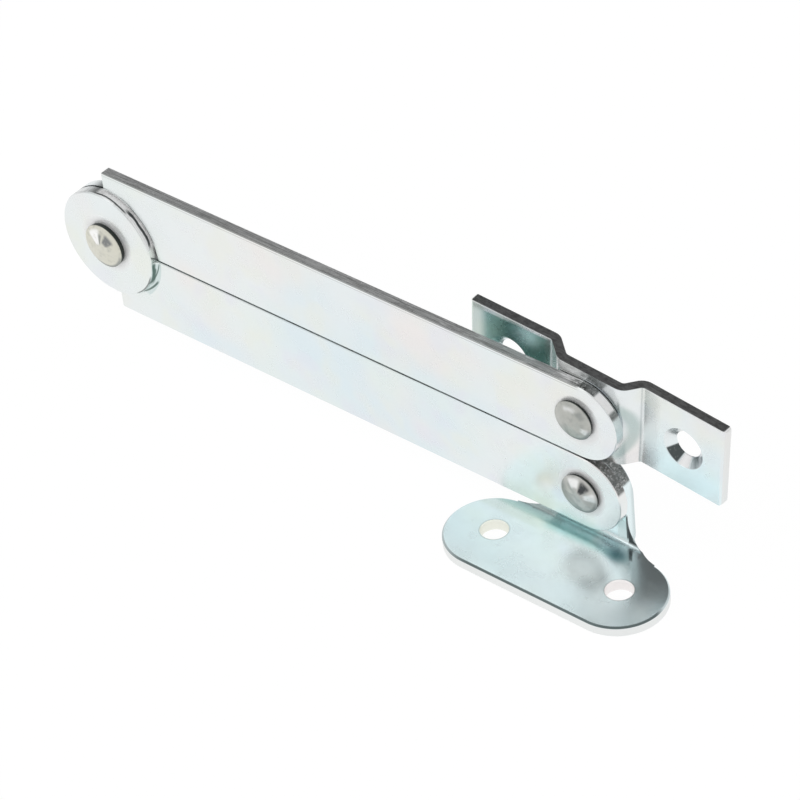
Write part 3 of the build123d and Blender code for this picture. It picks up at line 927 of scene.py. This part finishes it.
class StayStage(bpy.types.PropertyGroup):
    """Floor, light and camera."""

    sky: factor("Sky", "Brightness of the plain surroundings", 0.95, 2.0)
    flag: factor("Flag", "Brightness of the dark cloth behind the stay", 0.2)
    key: bpy.props.FloatProperty(
        name="Key light", description="Power of the large soft light", default=0.45, unit="POWER", min=0)
    floor: tint("Floor", "Colour of the plain floor", (0.9, 0.9, 0.9))
    lens: bpy.props.FloatProperty(
        name="Lens", description="Focal length in millimetres on a 36 mm sensor", default=161.861, min=1)
    camera: bpy.props.FloatVectorProperty(
        name="Camera", description="Place of the camera",
        default=(0.290113, -0.334258, 0.406367), unit="LENGTH", size=3)
    aim: bpy.props.FloatVectorProperty(
        name="Aim", description="Turn of the camera",
        default=(0.875826, 0.086701, 0.694346), unit="ROTATION", size=3)


# ---------------------------------------------------------------- operators


class STAY_OT_rivets(bpy.types.Operator):
    """Make the three upset rivets"""

    bl_idname = "stay.rivets"
    bl_label = "Rivets"

    def execute(self, context):
        s = context.scene.stay_rivets
        look = context.scene.stay_look
        bracket = (s.head / MM, s.rim_rise / MM)
        knuckle = (s.knuckle_head / MM, s.knuckle_rise / MM)
        aside = (s.offset_x / MM, s.offset_z / MM)
        for node, body, axis, (head, rise), offset, seed, colour, marks in (
            ("lower_rivet", "plate", LOW, bracket, (0.0, 0.0), 3, look.rivet, LOWER_MARKS),
            ("upper_rivet", "lid_link", HIGH, bracket, aside, 11, look.rivet_dull, UPPER_MARKS),
            ("knuckle_rivet", "lower_link", KNUCKLE, knuckle, (0.0, 0.0), 7, look.rivet_warm, KNUCKLE_MARKS),
        ):
            x, _, z = axis
            profile = rivet_profile(node, head, rise, s)
            piece = upset_rivet(node + "_upset", (x, z), offset, profile, s.lumps, seed)
            middle = (x + offset[0], z + offset[1])
            rim = box_mm(node)[0][1] + s.dome / MM
            steel = rivet_finish(node + "_steel", look, middle, head, rim, rim + rise, colour, marks)
            piece.data.materials.append(steel)
            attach(piece, body)
            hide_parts(node)
        return {"FINISHED"}


class STAY_OT_arms(bpy.types.Operator):
    """Finish both arms in bright zinc with sheared edges"""

    bl_idname = "stay.arms"
    bl_label = "Arms"

    def execute(self, context):
        look = context.scene.stay_look
        give("lower_arm", arm_finish("lower_arm_zinc", look, True))
        give("upper_arm", arm_finish("upper_arm_zinc", look, False))
        return {"FINISHED"}


class STAY_OT_plate(bpy.types.Operator):
    """Finish the plate bracket in bluish zinc"""

    bl_idname = "stay.plate"
    bl_label = "Plate bracket"

    def execute(self, context):
        give("plate_bracket", plate_finish("plate_bracket_zinc", context.scene.stay_look))
        return {"FINISHED"}


class STAY_OT_lid(bpy.types.Operator):
    """Finish the lid bracket in zinc with torn edges"""

    bl_idname = "stay.lid"
    bl_label = "Lid bracket"

    def execute(self, context):
        give("lid_bracket", lid_finish("lid_bracket_zinc", context.scene.stay_look))
        return {"FINISHED"}


class STAY_OT_stage(bpy.types.Operator):
    """Set the floor, the soft light and the camera"""

    bl_idname = "stay.stage"
    bl_label = "Stage"

    def execute(self, context):
        s = context.scene.stay_stage
        scene = context.scene
        scene.view_settings.view_transform = "Standard"
        self.floor(scene, s)
        self.surroundings(scene, s)
        self.lamp(scene, s)
        self.camera(scene, s)
        return {"FINISHED"}

    def camera(self, scene, s):
        """The camera, set by its focal length, place and turn alone."""
        camera = bpy.data.objects.new("camera", bpy.data.cameras.new("camera"))
        scene.collection.objects.link(camera)
        camera.data.sensor_width = 36
        camera.data.lens = s.lens
        camera.data.clip_start = 0.01
        camera.location = s.camera
        camera.rotation_euler = s.aim
        scene.camera = camera

    def floor(self, scene, s):
        """A wide floor under the plate."""
        low = CAD_BOX[0].z
        corners = [(x * FLOOR_HALF, y * FLOOR_HALF, low) for x, y in ((-1, -1), (1, -1), (1, 1), (-1, 1))]
        mesh = bpy.data.meshes.new("floor")
        mesh.from_pydata(corners, [], [(0, 1, 2, 3)])
        mesh.materials.append(self.floor_finish(s))
        floor = bpy.data.objects.new("floor", mesh)
        scene.collection.objects.link(floor)

    def floor_finish(self, s):
        """Plain floor, shown near white but keeping the shadow."""
        material = bpy.data.materials.new("floor_plain")
        material.use_nodes = True
        nodes, links = material.node_tree.nodes, material.node_tree.links
        nodes.clear()
        cloth = nodes.new("ShaderNodeBsdfDiffuse")
        cloth.inputs["Color"].default_value = (*s.floor, 1)
        white = nodes.new("ShaderNodeEmission")
        white.inputs["Strength"].default_value = FLOOR_WHITE
        path = nodes.new("ShaderNodeLightPath")
        seen = nodes.new("ShaderNodeMath")
        seen.operation = "MAXIMUM"
        links.new(path.outputs["Is Camera Ray"], seen.inputs[0])
        links.new(path.outputs["Is Glossy Ray"], seen.inputs[1])
        share = nodes.new("ShaderNodeMath")
        share.operation = "MULTIPLY"
        share.inputs[1].default_value = FLOOR_SHARE
        links.new(seen.outputs[0], share.inputs[0])
        mix = nodes.new("ShaderNodeMixShader")
        links.new(share.outputs[0], mix.inputs[0])
        links.new(cloth.outputs[0], mix.inputs[1])
        links.new(white.outputs[0], mix.inputs[2])
        out = nodes.new("ShaderNodeOutputMaterial")
        links.new(mix.outputs[0], out.inputs[0])
        return material

    def surroundings(self, scene, s):
        """White all round, with one dark cloth high behind the stay."""
        world = bpy.data.worlds.new("studio")
        scene.world = world
        world.use_nodes = True
        nodes, links = world.node_tree.nodes, world.node_tree.links
        nodes.clear()
        way = nodes.new("ShaderNodeTexCoord")
        towards = nodes.new("ShaderNodeVectorMath")
        towards.operation = "DOT_PRODUCT"
        links.new(way.outputs["Generated"], towards.inputs[0])
        towards.inputs[1].default_value = FLAG_WAY
        near = nodes.new("ShaderNodeMapRange")
        near.interpolation_type = "SMOOTHSTEP"
        links.new(towards.outputs["Value"], near.inputs["Value"])
        near.inputs["From Min"].default_value = FLAG_EDGE
        near.inputs["From Max"].default_value = FLAG_MIDDLE
        near.inputs["To Min"].default_value = s.sky
        near.inputs["To Max"].default_value = s.flag
        path = nodes.new("ShaderNodeLightPath")
        seen = nodes.new("ShaderNodeMix")
        seen.data_type = "FLOAT"
        links.new(path.outputs["Is Camera Ray"], seen.inputs["Factor"])
        links.new(near.outputs["Result"], seen.inputs["A"])
        seen.inputs["B"].default_value = 1.0
        sky = nodes.new("ShaderNodeBackground")
        links.new(seen.outputs["Result"], sky.inputs["Strength"])
        out = nodes.new("ShaderNodeOutputWorld")
        links.new(sky.outputs[0], out.inputs[0])

    def lamp(self, scene, s):
        """One large soft light, turned towards the stay."""
        data = bpy.data.lights.new("key", "AREA")
        data.shape = "DISK"
        data.size = KEY_SIZE
        data.energy = s.key
        lamp = bpy.data.objects.new("key", data)
        lamp.location = KEY_PLACE
        scene.collection.objects.link(lamp)
        aim = -lamp.location.normalized()
        lamp.rotation_euler = aim.to_track_quat("-Z", "Y").to_euler()


class STAY_PT_panel(bpy.types.Panel):
    """Sidebar panel with the stay's steps"""

    bl_idname = "STAY_PT_panel"
    bl_label = "Lid stay"
    bl_space_type = "VIEW_3D"
    bl_region_type = "UI"
    bl_category = "Lid stay"

    def draw(self, context):
        for step in (STAY_OT_rivets, STAY_OT_arms, STAY_OT_plate, STAY_OT_lid, STAY_OT_stage):
            self.layout.operator(step.bl_idname)
        for group in ("stay_rivets", "stay_look", "stay_stage"):
            settings = getattr(context.scene, group)
            box = self.layout.box()
            for key in settings.__annotations__:
                box.prop(settings, key)


GROUPS = {"stay_rivets": StayRivets, "stay_look": StayLook, "stay_stage": StayStage}
STEPS = (STAY_OT_rivets, STAY_OT_arms, STAY_OT_plate, STAY_OT_lid, STAY_OT_stage, STAY_PT_panel)


def register():
    for kind in (*GROUPS.values(), *STEPS):
        bpy.utils.register_class(kind)
    for name, kind in GROUPS.items():
        setattr(bpy.types.Scene, name, bpy.props.PointerProperty(type=kind))


def unregister():
    for name in GROUPS:
        delattr(bpy.types.Scene, name)
    for kind in reversed((*GROUPS.values(), *STEPS)):
        bpy.utils.unregister_class(kind)


def main():
    register()
    bpy.ops.stay.rivets()
    bpy.ops.stay.arms()
    bpy.ops.stay.plate()
    bpy.ops.stay.lid()
    bpy.ops.stay.stage()


if __name__ == "__main__":
    main()
